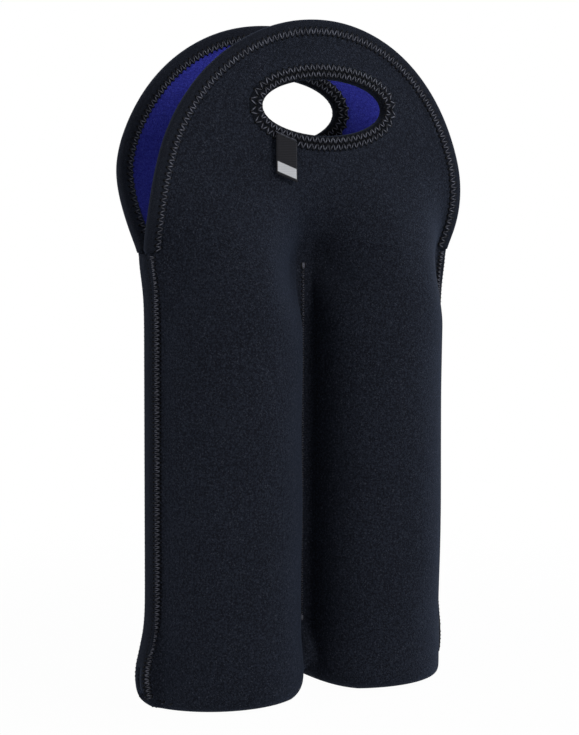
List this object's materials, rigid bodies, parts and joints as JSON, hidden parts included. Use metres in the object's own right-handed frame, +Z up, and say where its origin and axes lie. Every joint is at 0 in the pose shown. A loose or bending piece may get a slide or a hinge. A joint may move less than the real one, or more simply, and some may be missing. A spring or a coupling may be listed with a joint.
{
  "type": "bottle carrier",
  "caption": "Soft foam bottle carrier: side-by-side round tubes sewn along the middle, lined inside, with rounded upright handle lobes that each have a bound oval hand hole.",
  "frame": {"origin": "on the floor under the middle of the carrier, between the two tubes", "axes": "+X to the right seen from the front, along the row of tubes; front towards -Y; +Z up, the way the bottles come out"},
  "size_m": [0.2044, 0.0852, 0.3774],
  "materials": {
    "outer_foam": "matt knit over foam",
    "lining": "matt knit",
    "binding": "matt knit tape",
    "thread": "sewing thread",
    "label": "woven tape"
  },
  "bodies": {
    "bag": {"front_panel": "outer_foam", "front_lining": "lining", "front_neck": "outer_foam", "front_neck_lining": "lining", "front_rim_binding_ends": "binding", "front_rim_stitching_ends": "thread", "back_panel": "outer_foam", "back_lining": "lining", "back_neck": "outer_foam", "back_neck_lining": "lining", "back_rim_binding_ends": "binding", "back_rim_stitching_ends": "thread", "left_side_binding": "binding", "left_side_stitching": "thread", "right_side_binding": "binding", "right_side_stitching": "thread", "centre_seam_stitching": "thread", "centre_seam_bartacks": "thread"},
    "front_lobe": {"front_handle": "outer_foam", "front_handle_lining": "lining", "front_rim_binding": "binding", "front_rim_stitching": "thread", "front_hole_binding": "binding", "front_hole_stitching": "thread", "label_stitching": "thread"},
    "back_lobe": {"back_handle": "outer_foam", "back_handle_lining": "lining", "back_rim_binding": "binding", "back_rim_stitching": "thread", "back_hole_binding": "binding", "back_hole_stitching": "thread"},
    "label_tab": {"label": "label"}
  },
  "joints": [
    {"name": "front_lobe_bend", "type": "hinge", "parent": "bag", "child": "front_lobe", "pos_m": [0, -0.023, 0.267], "axis": [1, 0, 0], "range_deg": [-7, 45], "stiffness_Nm_per_rad": 0.05, "deforming": ["front_neck", "front_neck_lining", "front_rim_binding_ends", "front_rim_stitching_ends"]},
    {"name": "back_lobe_bend", "type": "hinge", "parent": "bag", "child": "back_lobe", "pos_m": [0, 0.025, 0.267], "axis": [-1, 0, 0], "range_deg": [-13, 40], "stiffness_Nm_per_rad": 0.05, "deforming": ["back_neck", "back_neck_lining", "back_rim_binding_ends", "back_rim_stitching_ends"]},
    {"name": "label_flip", "type": "hinge", "parent": "front_lobe", "child": "label_tab", "pos_m": [-0.024, -0.02552, 0.31142], "axis": [-0.9541, 0, 0.2994], "range_deg": [0, 110], "stiffness_Nm_per_rad": 0.0005}
  ]
}
